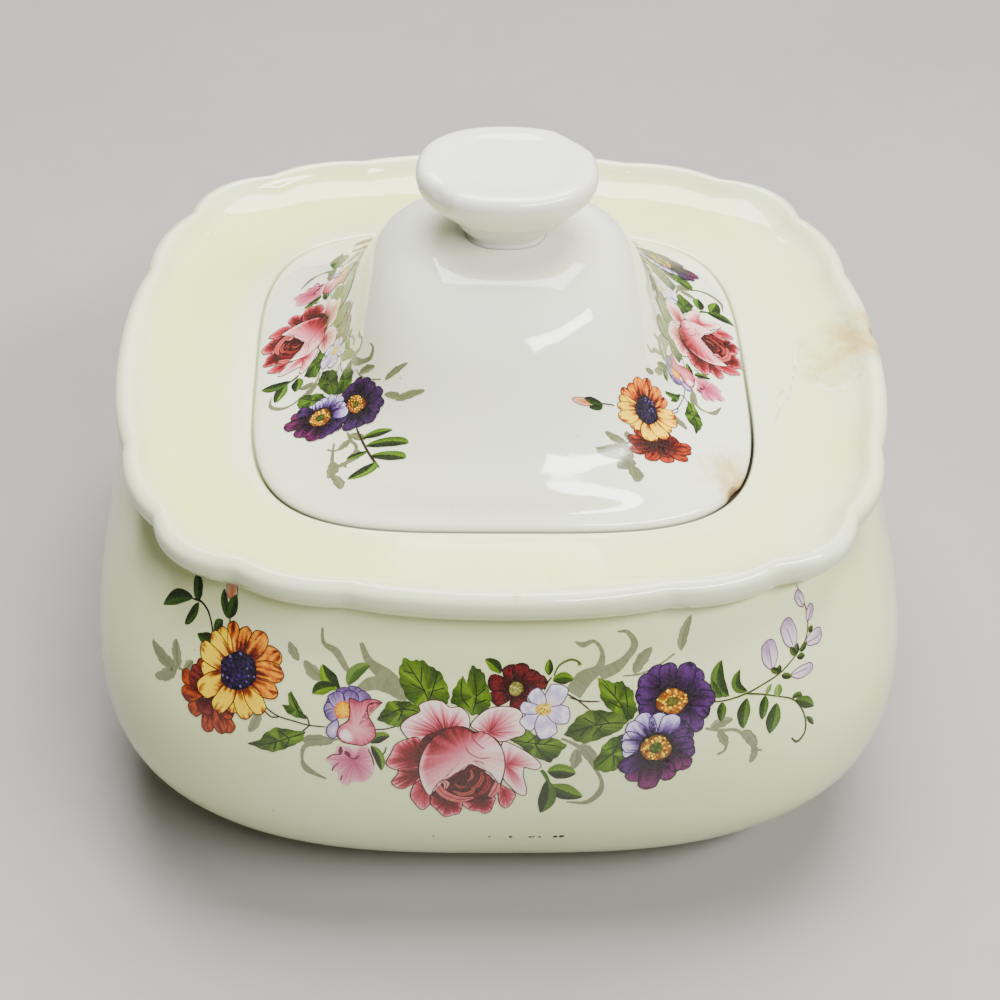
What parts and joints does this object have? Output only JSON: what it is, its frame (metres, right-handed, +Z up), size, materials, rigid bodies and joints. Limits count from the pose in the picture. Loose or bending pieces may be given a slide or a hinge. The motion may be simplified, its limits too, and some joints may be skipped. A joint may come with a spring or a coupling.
{
  "type": "covered butter dish",
  "caption": "Bellied square-oval butter tub with a broad scalloped rim, and a domed lift-off lid with a waisted knob, decorated with flower garlands.",
  "frame": {"origin": "centre of the base, on the surface that the foot ring stands on", "axes": "+Z up, front of the dish towards -Y, +X to the right seen from the front"},
  "size_m": [0.1696, 0.1658, 0.129],
  "materials": {
    "dish_glaze": "cream glaze, yellowed on the rim",
    "lid_glaze": "ivory glaze",
    "knob_glaze": "ivory glaze"
  },
  "bodies": {
    "dish": {"dish": "dish_glaze"},
    "lid": {"lid": "lid_glaze", "lid_knob": "knob_glaze"}
  },
  "joints": [
    {"name": "lid_lift", "type": "slide", "parent": "dish", "child": "lid", "axis": [0, 0, 1], "range_m": [0, 0.08]}
  ]
}
